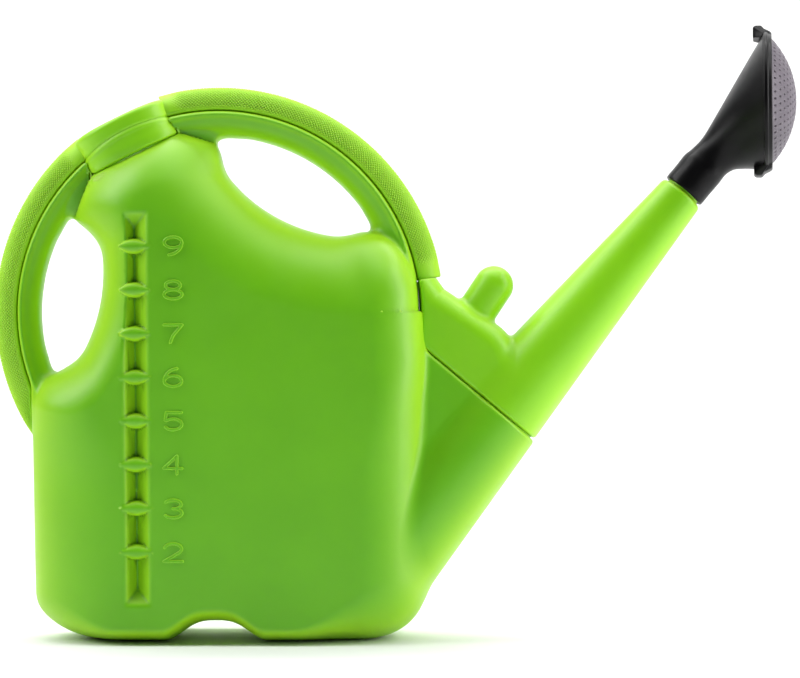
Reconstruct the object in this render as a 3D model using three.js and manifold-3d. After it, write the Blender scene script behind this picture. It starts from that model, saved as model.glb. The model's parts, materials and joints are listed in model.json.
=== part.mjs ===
// Ten-litre plastic watering can: a flat-sided tank inside one big round handle ring,
// a tilted filler collar, two textured grip bands, a tapered spout with a parking peg,
// and a rose head that pulls off the spout tip and twists on it.
// Millimetres, +Z up, the spout points along +X, the can is symmetrical about Y = 0.

import * as THREE from 'three';
import { LoftGeometry } from 'three/addons/geometries/LoftGeometry.js';
import { mergeVertices } from 'three/addons/utils/BufferGeometryUtils.js';
import Module from 'manifold-3d';

// ---- driving dimensions ----

const WALL = 2.2;
const GAP = 0.3;
const PILLOW_GRID = 19;
const OVERRUN = 10;
const DEGREE = Math.PI / 180;

const RING = {
  centre: new THREE.Vector2(-132, 243.75),
  outer: 168.4,
  groove: 150,
  rearInner: 133,
  frontInner: 130.5,
  halfDepth: 17.5,
};
const REAR_GRIP_ARC = { from: 125, to: 213 };
const FRONT_GRIP_ARC = { from: 9, to: 110 };
const REAR_FLANGE_ARC = { from: 120, to: 210 };
const FRONT_FLANGE_ARC = { from: -11, to: 108 };

const TANK = {
  left: -272,
  right: 21,
  halfDepth: 61,
  bulge: 4,
  leftFootRadius: 27,
  rightFootRadius: 40,
  sideRounding: 50,
  baseRounding: 16,
  holeRounding: 42,
  edgeHalfDepth: 9,
  neckReach: 90,
};
const ARCH = { centre: -132.75, halfWidth: 38, height: 14.5, foot: 0.6, brow: 0.5 };

const HOLE_FILLET = 8;
const REAR_BITE = { centre: new THREE.Vector2(-343.3, 272.8), radius: 124.6 };
const FRONT_BITE = { centre: new THREE.Vector2(-30.4, 421), radius: 120.9 };

const WINDOW = { x: -193, lean: 0.01, bottom: 27, top: 312, halfWidth: 9.5, depth: 8, slope: 9, reach: 14 };

const COLLAR = {
  tilt: 26.3 * DEGREE,
  rim: new THREE.Vector2(-207.4, 387),
  height: 30,
  halfLength: 39,
  halfDepth: 33,
  mouthLength: 33,
  mouthDepth: 27,
};

const SPOUT = {
  angle: 50.23 * DEGREE,
  tip: new THREE.Vector2(215.3, 334),
  seam: -215,
  funnelStart: -365,
  seamRadius: 32.9,
  shoulderRadius: 18,
  shoulder: -11.8,
  tipRadius: 16.2,
  seamTop: 79,
  funnelHalfHeight: 63.5,
  funnelHalfWidth: 41,
  funnelPower: 2.3,
};
const HUMP = {
  halfDepth: 25,
  bevel: 6,
  heel: new THREE.Vector2(40, 256),
  brow: new THREE.Vector2(48, 252.5),
  toe: new THREE.Vector2(83, 229),
  valley: new THREE.Vector2(87, 224),
  end: -160,
};
const SPIGOT = { radius: 13.3, bore: 10.5, length: 29 };
const PEG = { centre: new THREE.Vector2(73.3, 263.6), radius: 14.7, angle: 56.5 * DEGREE, shank: 34 };

const SEAL = { inner: 13.6, outer: 14.7, from: 9, to: 21 };
const ROSE = {
  turn: -11 * DEGREE,
  neckRadius: 16.5,
  neckBore: 13.7,
  neckLength: 30,
  sealBore: 15,
  mouth: new THREE.Vector2(270.8, 398),
  mouthRadius: 47.5,
  ringCentre: 401.6,
  ringRadius: 57.4,
  ringInner: 46.5,
  ringEnd: 282,
  flange: 3,
  flangeRadius: 55.6,
  wall: 2,
};
const FACE = {
  radius: 68,
  sheet: 1.6,
  rim: 2,
  edge: 51,
  top: 299.94,
  holeRings: 4,
  holeRadius: 1.2,
  holePitch: 9.6,
};

const GREEN = { color: 0x7ac81e, roughness: 0.42, metalness: 0 };
const GRIP_GREEN = { color: 0x74c01c, roughness: 0.6, metalness: 0 };
const BLACK = { color: 0x1c1b1e, roughness: 0.4, metalness: 0 };
const SEAL_BLACK = { color: 0x111111, roughness: 0.85, metalness: 0 };
const FACE_GREY = { color: 0x8c868e, roughness: 0.5, metalness: 0 };

// ---- solids ----

const wasm = await Module();
wasm.setup();

function toSolid(geometry) {
  const bare = new THREE.BufferGeometry();
  bare.setAttribute('position', geometry.attributes.position);
  bare.setIndex(geometry.index);
  const merged = mergeVertices(bare, 1e-3);
  const index = merged.index.array;
  const corners = [];
  for (let i = 0; i < index.length; i += 3) {
    const [a, b, c] = index.slice(i, i + 3);
    if (a !== b && b !== c && c !== a) corners.push(a, b, c);
  }
  const vertProperties = new Float32Array(merged.attributes.position.array);
  const triVerts = new Uint32Array(corners);
  return new wasm.Manifold(new wasm.Mesh({ numProp: 3, vertProperties, triVerts }));
}

function toGeometry(solid) {
  const mesh = solid.getMesh();
  const geometry = new THREE.BufferGeometry();
  geometry.setAttribute('position', new THREE.BufferAttribute(mesh.vertProperties, 3));
  geometry.setIndex(new THREE.BufferAttribute(mesh.triVerts, 1));
  geometry.computeVertexNormals();
  return geometry;
}

const join = (first, ...rest) => rest.reduce((solid, next) => solid.add(next), first);
const cut = (first, ...rest) => rest.reduce((solid, next) => solid.subtract(next), first);

// ---- frames ----

const point = (x, z) => new THREE.Vector3(x, 0, z);
const axisOf = (angle) => new THREE.Vector3(Math.cos(angle), 0, Math.sin(angle));
const ACROSS = new THREE.Vector3(0, 1, 0);
const spoutAxis = axisOf(SPOUT.angle);
const spoutUp = axisOf(SPOUT.angle + Math.PI / 2);
const collarAxis = axisOf(COLLAR.tilt + Math.PI / 2);
const collarRight = axisOf(COLLAR.tilt);

// A place along the spout (0 at the tip, negative towards the tank) and above its centre line.
function onSpout(along, up = 0) {
  return point(SPOUT.tip.x, SPOUT.tip.y).addScaledVector(spoutAxis, along).addScaledVector(spoutUp, up);
}

// A place below the filler rim, measured down the collar's own axis.
function onCollar(down, right = 0) {
  const rim = point(COLLAR.rim.x, COLLAR.rim.y);
  return rim.addScaledVector(collarAxis, -down).addScaledVector(collarRight, right);
}

// Sides of a loft section: u and v span it and u x v points along the loft.
function oval(centre, u, v, halfU, halfV, count = 32, power = 2) {
  const soften = (value) => Math.sign(value) * Math.abs(value) ** (2 / power);
  return Array.from({ length: count }, (_, i) => {
    const turn = (i / count) * 2 * Math.PI;
    return centre.clone()
      .addScaledVector(u, halfU * soften(Math.cos(turn)))
      .addScaledVector(v, halfV * soften(Math.sin(turn)));
  });
}

const loft = (sections) => toSolid(new LoftGeometry(sections, { capStart: true, capEnd: true }));

// A turned piece: profile points are (radius, height) and height runs along the given axis.
function turned(profile, origin, axis, segments = 28) {
  const geometry = new THREE.LatheGeometry(profile.map(([r, h]) => new THREE.Vector2(r, h)), segments);
  const turn = new THREE.Quaternion().setFromUnitVectors(ACROSS, axis);
  geometry.applyQuaternion(turn);
  geometry.translate(origin.x, origin.y, origin.z);
  return toSolid(geometry);
}

// A closed outline in the XZ plane pushed out equally to both sides of Y = 0.
function slab(shape, halfDepth, bevel = 0, curveSegments = 9) {
  const geometry = new THREE.ExtrudeGeometry(shape, {
    depth: 2 * (halfDepth - bevel),
    bevelEnabled: bevel > 0,
    bevelSize: bevel,
    bevelOffset: -bevel,
    bevelThickness: bevel,
    bevelSegments: 3,
    curveSegments,
  });
  geometry.translate(0, 0, bevel - halfDepth);
  geometry.rotateX(Math.PI / 2);
  return toSolid(geometry);
}

function polygon(points) {
  return new THREE.Shape(points.map(({ x, z }) => new THREE.Vector2(x, z)));
}

// The room that the filler collar takes up, with a gap round it.
function collarRoom() {
  const side = COLLAR.halfLength + GAP;
  const corners = [
    onCollar(COLLAR.height, -side),
    onCollar(COLLAR.height, side),
    onCollar(-2 * COLLAR.height, side),
    onCollar(-2 * COLLAR.height, -side),
  ];
  return slab(polygon(corners), TANK.halfDepth + OVERRUN);
}

// ---- handle ring ----

// A place at a distance from the ring's centre, with the angle in degrees above +X.
function onRing(radius, angle) {
  const arm = new THREE.Vector2(Math.cos(angle * DEGREE), Math.sin(angle * DEGREE));
  return RING.centre.clone().addScaledVector(arm, radius);
}

function sector({ from, to }) {
  const reach = RING.outer * 1.5;
  const steps = 8;
  const rim = Array.from({ length: steps + 1 }, (_, i) => onRing(reach, from + ((to - from) * i) / steps));
  return slab(new THREE.Shape([RING.centre.clone(), ...rim]), RING.halfDepth * 2);
}

// Half of the handle tube: a channel whose back is round and whose open side is the groove.
function channel(edge, back, halfDepth, wall) {
  const steps = 6;
  const arc = (radius, depth) => Array.from({ length: steps + 1 }, (_, i) => {
    const turn = (i / steps - 0.5) * Math.PI;
    return [edge + (radius - edge) * Math.cos(turn), depth * Math.sin(turn)];
  });
  const outside = arc(back, halfDepth);
  const inside = arc(back + Math.sign(edge - back) * wall, halfDepth - wall).reverse();
  const loop = [...outside, ...inside, outside[0]];
  return back > edge ? loop : loop.reverse();
}

function ringPiece(edge, back, arc) {
  const profile = channel(edge, back, RING.halfDepth, WALL);
  const ring = turned(profile, point(RING.centre.x, RING.centre.y), ACROSS, 56);
  return cut(ring.intersect(sector(arc)), collarRoom());
}

// ---- hand holes ----

// The almond left where two circles overlap, with its two corners rounded.
function almond(ringRadius, bite, inset = 0) {
  const first = { centre: RING.centre, radius: ringRadius + inset };
  const second = { centre: bite.centre, radius: bite.radius + inset };
  const fillet = HOLE_FILLET + inset;
  const near = { centre: first.centre, radius: first.radius - fillet };
  const far = { centre: second.centre, radius: second.radius - fillet };
  const [low, high] = crossings(near, far);
  const angle = (centre, target) => Math.atan2(target.y - centre.y, target.x - centre.x);
  const shape = new THREE.Shape();
  const arc = ({ x, y }, radius, from, to) => shape.absarc(x, y, radius, from, to);
  arc(first.centre, first.radius, angle(first.centre, low), angle(first.centre, high));
  arc(high, fillet, angle(first.centre, high), angle(second.centre, high));
  arc(second.centre, second.radius, angle(second.centre, high), angle(second.centre, low));
  arc(low, fillet, angle(second.centre, low), angle(first.centre, low));
  return shape;
}

function crossings(a, b) {
  const between = b.centre.clone().sub(a.centre);
  const distance = between.length();
  const along = (distance ** 2 + a.radius ** 2 - b.radius ** 2) / (2 * distance);
  const aside = Math.sqrt(a.radius ** 2 - along ** 2);
  const unit = between.divideScalar(distance);
  const foot = a.centre.clone().addScaledVector(unit, along);
  const side = new THREE.Vector2(-unit.y, unit.x);
  return [foot.clone().addScaledVector(side, -aside), foot.clone().addScaledVector(side, aside)];
}

// ---- tank ----

// A quarter-ellipse rise from 0 at an edge to 1 at the given distance inside it.
function rise(distance, reach) {
  const t = Math.min(Math.max(distance / reach, 0), 1);
  return Math.sqrt(1 - (1 - t) ** 2);
}

// Half of the tank's depth above the point (x, z) of its middle plane.
function tankHalfDepth(x, z) {
  const place = new THREE.Vector2(x, z);
  const ringDistance = RING.groove - place.distanceTo(RING.centre);
  const sideDistance = z < RING.centre.y ? TANK.right - x : Math.min(TANK.right - x, ringDistance);
  const middle = (TANK.left + TANK.right) / 2;
  const crown = TANK.halfDepth - TANK.bulge * ((x - middle) / (TANK.right - middle)) ** 2;
  const sides = rise(x - TANK.left, TANK.sideRounding) * rise(sideDistance, TANK.sideRounding);
  const base = rise(z + TANK.baseRounding * 0.3, TANK.baseRounding);
  const rearHole = rise(place.distanceTo(REAR_BITE.centre) - REAR_BITE.radius, TANK.holeRounding);
  const frontHole = rise(place.distanceTo(FRONT_BITE.centre) - FRONT_BITE.radius, TANK.holeRounding);
  const neckDistance = onCollar(COLLAR.height).sub(point(x, z)).dot(collarAxis);
  const neckRise = rise(neckDistance, TANK.neckReach);
  const neck = COLLAR.halfDepth + (TANK.halfDepth - COLLAR.halfDepth) * neckRise;
  const swell = TANK.edgeHalfDepth + (crown - TANK.edgeHalfDepth) * sides * base * rearHole * frontHole;
  return Math.min(swell, neck);
}

// A grid over the tank's outline whose front and back stand off by the half depth.
function pillow(inset) {
  const width = TANK.right - TANK.left + 6 * OVERRUN;
  const height = RING.centre.y + RING.outer + 2 * OVERRUN;
  const columns = Math.round(width / PILLOW_GRID);
  const rows = Math.round(height / PILLOW_GRID);
  const geometry = new THREE.BoxGeometry(width, 2, height, columns, 1, rows);
  geometry.translate((TANK.left + TANK.right) / 2, 0, height / 2 - OVERRUN);
  const places = geometry.attributes.position;
  for (let i = 0; i < places.count; i += 1) {
    const half = tankHalfDepth(places.getX(i), places.getZ(i)) - inset;
    places.setY(i, Math.sign(places.getY(i)) * Math.max(half, 2));
  }
  return toSolid(geometry);
}

// The tank's side outline, drawn counter-clockwise from its left foot; inset makes the inside.
function tankOutline(inset) {
  const left = TANK.left + inset;
  const right = TANK.right - inset;
  const groove = RING.groove - 2 - inset;
  const leftFoot = TANK.leftFootRadius - inset;
  const rightFoot = TANK.rightFootRadius - inset;
  const archHalf = ARCH.halfWidth + inset;
  const archTop = ARCH.height + inset;
  const neckTop = COLLAR.height + (inset > 0 ? inset : -OVERRUN);
  const neckHalf = COLLAR.halfLength - 1.5 - inset;
  const neckRight = onCollar(neckTop, neckHalf);
  const neckLeft = onCollar(neckTop, -neckHalf);
  const angleTo = (x, z) => Math.atan2(z - RING.centre.y, x - RING.centre.x);
  const rightAngle = FRONT_FLANGE_ARC.from * DEGREE;
  const rightTop = RING.centre.y + groove * Math.sin(rightAngle) - 12;
  const gripEnd = REAR_GRIP_ARC.to + 0.15 + inset * 0.2;
  const shape = new THREE.Shape();
  shape.moveTo(TANK.left + TANK.leftFootRadius, inset);
  shape.lineTo(ARCH.centre - archHalf, inset);
  shape.bezierCurveTo(
    ARCH.centre - archHalf * ARCH.foot, inset,
    ARCH.centre - archHalf * ARCH.brow, archTop,
    ARCH.centre, archTop,
  );
  shape.bezierCurveTo(
    ARCH.centre + archHalf * ARCH.brow, archTop,
    ARCH.centre + archHalf * ARCH.foot, inset,
    ARCH.centre + archHalf, inset,
  );
  shape.lineTo(TANK.right - TANK.rightFootRadius, inset);
  shape.absarc(TANK.right - TANK.rightFootRadius, TANK.rightFootRadius, rightFoot, -Math.PI / 2, 0);
  shape.lineTo(right - 1, rightTop);
  const neckAngles = [neckRight, neckLeft].map(({ x, z }) => angleTo(x, z));
  shape.absarc(RING.centre.x, RING.centre.y, groove, rightAngle, neckAngles[0]);
  shape.lineTo(neckRight.x, neckRight.z);
  shape.lineTo(neckLeft.x, neckLeft.z);
  shape.absarc(RING.centre.x, RING.centre.y, groove, neckAngles[1], gripEnd * DEGREE);
  shape.lineTo(left, onRing(RING.outer, gripEnd).y - inset);
  shape.lineTo(left, TANK.leftFootRadius);
  shape.absarc(TANK.left + TANK.leftFootRadius, TANK.leftFootRadius, leftFoot, Math.PI, 1.5 * Math.PI);
  return shape;
}

function tankBody(inset) {
  const reach = TANK.halfDepth * 2;
  return cut(
    pillow(inset).intersect(slab(tankOutline(inset), reach)),
    slab(almond(RING.groove + 4, REAR_BITE, inset), reach),
    slab(almond(RING.groove + 4, FRONT_BITE, inset), reach),
  );
}

// The lower half of the spout's base, which grows out of the front of the tank.
function spoutFunnel(inset, from, to) {
  const sections = [from, (from + to) / 2, to].map((along) => {
    const share = (along - SPOUT.seam) / (SPOUT.funnelStart - SPOUT.seam);
    const centre = (SPOUT.seamTop - SPOUT.seamRadius) / 2;
    const seamHalf = (SPOUT.seamTop + SPOUT.seamRadius) / 2;
    const halfHeight = THREE.MathUtils.lerp(seamHalf, SPOUT.funnelHalfHeight, share) - inset;
    const halfWidth = THREE.MathUtils.lerp(SPOUT.seamRadius, SPOUT.funnelHalfWidth, share) - inset;
    const middle = onSpout(along, centre);
    return oval(middle, spoutUp, ACROSS.clone().negate(), halfHeight, halfWidth, 32, SPOUT.funnelPower);
  });
  return loft(sections);
}

// The sight groove: a long V cut in the front face, with sloped ends; inset makes its inner skin.
function sightGroove(inset) {
  const floor = TANK.halfDepth - WINDOW.depth - inset * 1.2;
  const section = (z, share) => {
    const x = WINDOW.x - (z - WINDOW.bottom) * WINDOW.lean;
    const reach = WINDOW.reach + inset;
    const apex = floor + (1 - share) * WINDOW.depth;
    const across = (WINDOW.halfWidth / WINDOW.depth) * reach;
    return [[0, -apex], [-across, -apex - reach], [across, -apex - reach]]
      .map(([aside, y]) => new THREE.Vector3(x + aside, y, z));
  };
  return loft([
    section(WINDOW.bottom - inset, 0.1),
    section(WINDOW.bottom + WINDOW.slope - inset, 1),
    section(WINDOW.top - WINDOW.slope + inset, 1),
    section(WINDOW.top + inset, 0.1),
  ]);
}

function makeTank() {
  const seamStop = SPOUT.seam - GAP / 2;
  const neckMouth = loft([COLLAR.height * 2.5, COLLAR.height * 0.8].map(
    (down) => oval(onCollar(down), collarRight, ACROSS, COLLAR.mouthLength, COLLAR.mouthDepth),
  ));
  const outside = join(
    tankBody(0),
    ringPiece(RING.groove - GAP / 2, RING.rearInner, REAR_FLANGE_ARC),
    ringPiece(RING.groove - GAP / 2, RING.frontInner, FRONT_FLANGE_ARC),
    spoutFunnel(0, SPOUT.funnelStart, seamStop + 2),
  );
  const inside = join(
    tankBody(WALL),
    spoutFunnel(WALL, SPOUT.funnelStart - 5, seamStop + 4),
    neckMouth,
  );
  const beyondSeam = slab(polygon([
    onSpout(seamStop, -2 * SPOUT.seamRadius),
    onSpout(seamStop + 12 * OVERRUN, -2 * SPOUT.seamRadius),
    onSpout(seamStop + 12 * OVERRUN, SPOUT.seamTop + 3),
    onSpout(seamStop, SPOUT.seamTop + 3),
  ]), TANK.halfDepth + 2 * OVERRUN);
  return cut(outside, cut(inside, sightGroove(WALL)), sightGroove(0), beyondSeam, collarRoom());
}

// ---- filler collar ----

function makeCollar() {
  const ring = (down, outset) => oval(
    onCollar(down), collarRight, ACROSS, COLLAR.halfLength + outset, COLLAR.halfDepth + outset, 40, 2.3,
  );
  const bore = (down) => oval(
    onCollar(down), collarRight, ACROSS, COLLAR.mouthLength, COLLAR.mouthDepth, 40,
  );
  const bottom = COLLAR.height - GAP;
  return cut(loft([ring(bottom, 0), ring(3, 0), ring(0, -2.5)]), loft([bore(bottom + 2), bore(-2)]));
}

// ---- spout ----

function makeSpout() {
  const seam = SPOUT.seam + GAP / 2;
  const origin = onSpout(0);
  const cone = turned([
    [0, seam],
    [SPOUT.seamRadius, seam],
    [SPOUT.shoulderRadius, SPOUT.shoulder],
    [SPOUT.tipRadius, -1.5],
    [SPOUT.tipRadius - 1, 0],
    [SPIGOT.radius, 0],
    [SPIGOT.radius, SPIGOT.length - 1],
    [SPIGOT.radius - 1, SPIGOT.length],
    [0, SPIGOT.length],
  ], origin, spoutAxis);
  const bore = turned([
    [0, seam - 2],
    [SPOUT.seamRadius - WALL, seam - 2],
    [SPOUT.shoulderRadius - WALL, SPOUT.shoulder],
    [SPIGOT.bore, -3],
    [SPIGOT.bore, SPIGOT.length + 2],
    [0, SPIGOT.length + 2],
  ], origin, spoutAxis);

  const besideGroove = [-8, -3, 2, 6, FRONT_GRIP_ARC.from - 0.1]
    .map((angle) => onRing(RING.groove + GAP / 2, angle))
    .map(({ x, y }) => point(x, y));
  const gripEnd = onRing(RING.outer - 0.5, FRONT_GRIP_ARC.from - 0.1);
  const hump = slab(polygon([
    onSpout(seam, 0),
    onSpout(seam, SPOUT.seamTop),
    ...besideGroove,
    point(gripEnd.x, gripEnd.y),
    point(HUMP.heel.x, HUMP.heel.y),
    point(HUMP.brow.x, HUMP.brow.y),
    point(HUMP.toe.x, HUMP.toe.y),
    point(HUMP.valley.x, HUMP.valley.y),
    onSpout(HUMP.end, OVERRUN),
  ]), HUMP.halfDepth, HUMP.bevel);
  const humpRoom = slab(polygon([
    onSpout(seam - 3, 0),
    onSpout(seam - 3, 68),
    onSpout(-176, 72),
    onSpout(-174, 20),
  ]), HUMP.halfDepth - WALL * 1.5);
  return cut(join(cone, hump, makePeg()), bore, humpRoom);
}

// The round-ended peg that the rose is parked on.
function makePeg() {
  const dome = Array.from({ length: 7 }, (_, i) => {
    const turn = (i / 6) * Math.PI / 2;
    return [PEG.radius * Math.cos(turn), PEG.radius * Math.sin(turn)];
  });
  dome[dome.length - 1][0] = 0;
  const profile = [[0, -PEG.shank], [PEG.radius, -PEG.shank], ...dome];
  return turned(profile, point(PEG.centre.x, PEG.centre.y), axisOf(PEG.angle), 24);
}

// ---- rose ----

function makeSeal() {
  return turned([
    [SEAL.inner, SEAL.from],
    [SEAL.outer, SEAL.from],
    [SEAL.outer, SEAL.to],
    [SEAL.inner, SEAL.to],
    [SEAL.inner, SEAL.from],
  ], onSpout(0), spoutAxis);
}

// The funnel bends from the neck's axis to the face's while it widens.
function funnel(inset, overrun) {
  const steps = 7;
  const start = onSpout(ROSE.neckLength - 8);
  const end = point(ROSE.mouth.x, ROSE.mouth.y);
  const pull = start.distanceTo(end) * 0.4;
  const bend = new THREE.CubicBezierCurve3(
    start,
    start.clone().addScaledVector(spoutAxis, pull),
    end.clone().addScaledVector(axisOf(0), -pull),
    end,
  );
  const sections = Array.from({ length: steps + 1 }, (_, i) => {
    const share = i / steps;
    const angle = SPOUT.angle * (1 - share);
    const radius = THREE.MathUtils.lerp(ROSE.neckRadius, ROSE.mouthRadius, share ** 1.35) - inset;
    const up = axisOf(angle + Math.PI / 2);
    return oval(bend.getPoint(share), up, ACROSS.clone().negate(), radius, radius, 32);
  });
  if (overrun > 0) {
    const rim = ROSE.mouthRadius - inset;
    const past = point(ROSE.mouth.x + overrun, ROSE.mouth.y);
    sections.push(oval(past, axisOf(Math.PI / 2), ACROSS.clone().negate(), rim, rim, 32));
  }
  return loft(sections);
}

function makeHousing() {
  const neck = turned([
    [0, GAP],
    [ROSE.neckRadius, GAP],
    [ROSE.neckRadius, ROSE.neckLength],
    [0, ROSE.neckLength],
  ], onSpout(0), spoutAxis);
  const neckBore = turned([
    [0, -1],
    [ROSE.neckBore, -1],
    [ROSE.neckBore, SEAL.from - GAP],
    [ROSE.sealBore, SEAL.from - GAP],
    [ROSE.sealBore, SEAL.to + GAP],
    [ROSE.neckBore, SEAL.to + GAP],
    [ROSE.neckBore, ROSE.neckLength + 1],
    [0, ROSE.neckLength + 1],
  ], onSpout(0), spoutAxis);
  const flange = turned([
    [0, -ROSE.flange],
    [ROSE.flangeRadius, -ROSE.flange],
    [ROSE.flangeRadius, 0],
    [0, 0],
  ], point(ROSE.mouth.x, ROSE.ringCentre), axisOf(0), 48);
  return cut(join(neck, funnel(0, 0), flange), neckBore, funnel(ROSE.wall, 1));
}

// A thin dome with a snap-in rim, pierced by rings of straight holes.
function makeFace() {
  const back = ROSE.mouth.x + GAP;
  const centre = FACE.top - back - FACE.radius;
  const edge = ROSE.ringInner + FACE.sheet;
  const cap = (radius, reach) => Array.from({ length: 7 }, (_, i) => {
    const turn = (1 - i / 6) * Math.asin(reach / radius);
    return [radius * Math.sin(turn), centre + radius * Math.cos(turn)];
  });
  const dome = turned([
    [0, 0], [FACE.edge, 0], [FACE.edge, FACE.rim], [edge, FACE.rim], ...cap(FACE.radius, edge),
  ], point(back, ROSE.ringCentre), axisOf(0), 40);
  const room = turned([
    [0, -1], [ROSE.ringInner, -1], ...cap(FACE.radius - FACE.sheet, ROSE.ringInner),
  ], point(back, ROSE.ringCentre), axisOf(0), 40);
  const holes = [];
  for (let ring = 1; ring <= FACE.holeRings; ring += 1) {
    for (let i = 0; i < 6 * ring; i += 1) {
      const turn = (i / (6 * ring)) * 2 * Math.PI;
      holes.push([ring * FACE.holePitch * Math.cos(turn), ring * FACE.holePitch * Math.sin(turn)]);
    }
  }
  const drills = holes.map(([y, z]) => turned([
    [0, 0], [FACE.holeRadius, 0], [FACE.holeRadius, 60], [0, 60],
  ], new THREE.Vector3(back, y, ROSE.ringCentre + z), axisOf(0), 4));
  return cut(dome, room, ...drills);
}

function makeRing() {
  const back = ROSE.mouth.x - ROSE.flange;
  const lip = ROSE.mouth.x + GAP * 2 + FACE.rim - back;
  const end = ROSE.ringEnd - back;
  const seat = ROSE.flangeRadius + GAP;
  const inner = ROSE.ringInner + FACE.sheet + GAP;
  return turned([
    [seat, 0],
    [ROSE.ringRadius, 0],
    [ROSE.ringRadius, end - 4],
    [ROSE.ringRadius - 3, end],
    [inner, end],
    [inner, lip],
    [seat, lip],
    [seat, 0],
  ], point(back, ROSE.ringCentre), axisOf(0), 48);
}

// ---- the can ----

const can = new THREE.Group();

// The rose is modelled facing along +X, and sits turned a little on the spout tip.
const rose = new THREE.Group();
rose.quaternion.setFromAxisAngle(spoutAxis, ROSE.turn);
rose.position.copy(onSpout(0)).sub(onSpout(0).applyQuaternion(rose.quaternion));
can.add(rose);

function place(name, solid, finish, group = can) {
  const mesh = new THREE.Mesh(toGeometry(solid), new THREE.MeshStandardMaterial(finish));
  mesh.name = name;
  group.add(mesh);
}

place('tank', makeTank(), GREEN);
place('filler_collar', makeCollar(), GREEN);
place('rear_grip', ringPiece(RING.groove + GAP / 2, RING.outer, REAR_GRIP_ARC), GRIP_GREEN);
place('front_grip', ringPiece(RING.groove + GAP / 2, RING.outer, FRONT_GRIP_ARC), GRIP_GREEN);
place('spout', makeSpout(), GREEN);
place('rose_seal', makeSeal(), SEAL_BLACK);
place('rose_housing', makeHousing(), BLACK, rose);
place('rose_face', makeFace(), FACE_GREY, rose);
place('rose_ring', makeRing(), BLACK, rose);

export default can;
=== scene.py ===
"""Looks for a ten-litre watering can: fine surfaces, finishes, studio and camera.

Shapes are level sets: a function of x, y, z in millimetres that is negative inside the piece.
surface_net() turns one into a mesh. Lengths below are millimetres in the row frame, and the
finished meshes are metres.
"""

import json
import math

import bpy
import numpy as np
from mathutils import Matrix, Vector


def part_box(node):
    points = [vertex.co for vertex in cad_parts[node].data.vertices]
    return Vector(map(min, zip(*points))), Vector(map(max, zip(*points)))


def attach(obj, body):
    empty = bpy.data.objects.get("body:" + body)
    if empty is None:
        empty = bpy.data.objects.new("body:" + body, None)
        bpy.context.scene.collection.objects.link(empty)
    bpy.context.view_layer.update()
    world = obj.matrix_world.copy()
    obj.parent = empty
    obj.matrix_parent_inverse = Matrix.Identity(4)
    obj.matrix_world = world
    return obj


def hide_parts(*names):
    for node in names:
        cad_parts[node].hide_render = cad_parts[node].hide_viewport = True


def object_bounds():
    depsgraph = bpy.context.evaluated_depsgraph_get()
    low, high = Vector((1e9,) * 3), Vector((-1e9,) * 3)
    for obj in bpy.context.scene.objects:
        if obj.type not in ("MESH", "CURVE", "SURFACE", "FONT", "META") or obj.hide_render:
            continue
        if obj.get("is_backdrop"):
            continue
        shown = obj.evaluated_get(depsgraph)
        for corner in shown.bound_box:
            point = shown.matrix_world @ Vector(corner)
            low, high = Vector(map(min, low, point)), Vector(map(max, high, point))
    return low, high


MM = 0.001

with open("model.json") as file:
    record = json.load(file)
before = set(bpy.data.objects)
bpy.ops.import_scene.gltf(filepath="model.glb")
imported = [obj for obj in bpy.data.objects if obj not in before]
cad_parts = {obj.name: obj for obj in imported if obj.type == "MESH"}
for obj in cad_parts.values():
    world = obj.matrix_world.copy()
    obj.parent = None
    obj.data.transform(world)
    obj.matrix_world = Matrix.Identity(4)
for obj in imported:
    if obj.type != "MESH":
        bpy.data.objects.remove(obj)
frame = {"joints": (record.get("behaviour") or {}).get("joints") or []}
cad_low, cad_high = (list(corner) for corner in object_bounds())


def box_mm(node):
    low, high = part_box(node)
    return np.array(low) / MM, np.array(high) / MM


# ---- places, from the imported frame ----

joints = {joint["name"]: joint for joint in frame["joints"]}
TIP = np.array(joints["rose_twist"]["pos_m"])[[0, 2]] / MM
SPOUT_AXIS = np.array(joints["rose_twist"]["axis"])[[0, 2]]
SPOUT_UP = np.array([-SPOUT_AXIS[1], SPOUT_AXIS[0]])

tank_low, tank_high = box_mm("tank")
rear_low = box_mm("rear_grip")[0]
front_high = box_mm("front_grip")[1]
collar_low, collar_high = box_mm("filler_collar")

# ---- dimensions ----

# The handle ring: its radii, its half thickness and its centre.
RING_OUTER, GROOVE, REAR_INNER, FRONT_INNER = 168.4, 150.0, 133.0, 130.5
TUBE_HALF = front_high[1]
RING_X, RING_Z = rear_low[0] + RING_OUTER, front_high[2] - RING_OUTER
GAP = 0.3
SEAM_ROOM = 0.9
WALL = 3.2

# The tank: half depth, left and right sides, and half thickness at its edges.
HALF_DEPTH = tank_high[1]
LEFT_FOOT, LEFT_TOP, RIGHT = -268.5, -272.0, 24.0
MIDDLE = -125.5
EDGE_HALF = 8.0
ROUNDING_POWER = 2.3
FIELD_SCALE = 46.0
NECK_LOW = 304.0

# Hand holes: the circle that bites each out of the tank, then the blunt ends of each, as a point
# and the direction out of the hole.
REAR_BITE = (-343.3, 272.8, 124.6)
FRONT_BITE = (-30.4, 421.0, 120.9)
REAR_ENDS = ((-233.0, 306.0, 0.25, 0.97), (-252.0, 203.0, -0.2, -0.98))
FRONT_ENDS = ((-131.5, 365.5, -0.85, 0.53), (-21.0, 304.0, 0.75, -0.66))
HOLE_CORNER, HOLE_END = 18.0, 20.0
ARCH_X, ARCH_HALF, ARCH_TOP = -132.75, 38.0, 14.5

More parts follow.
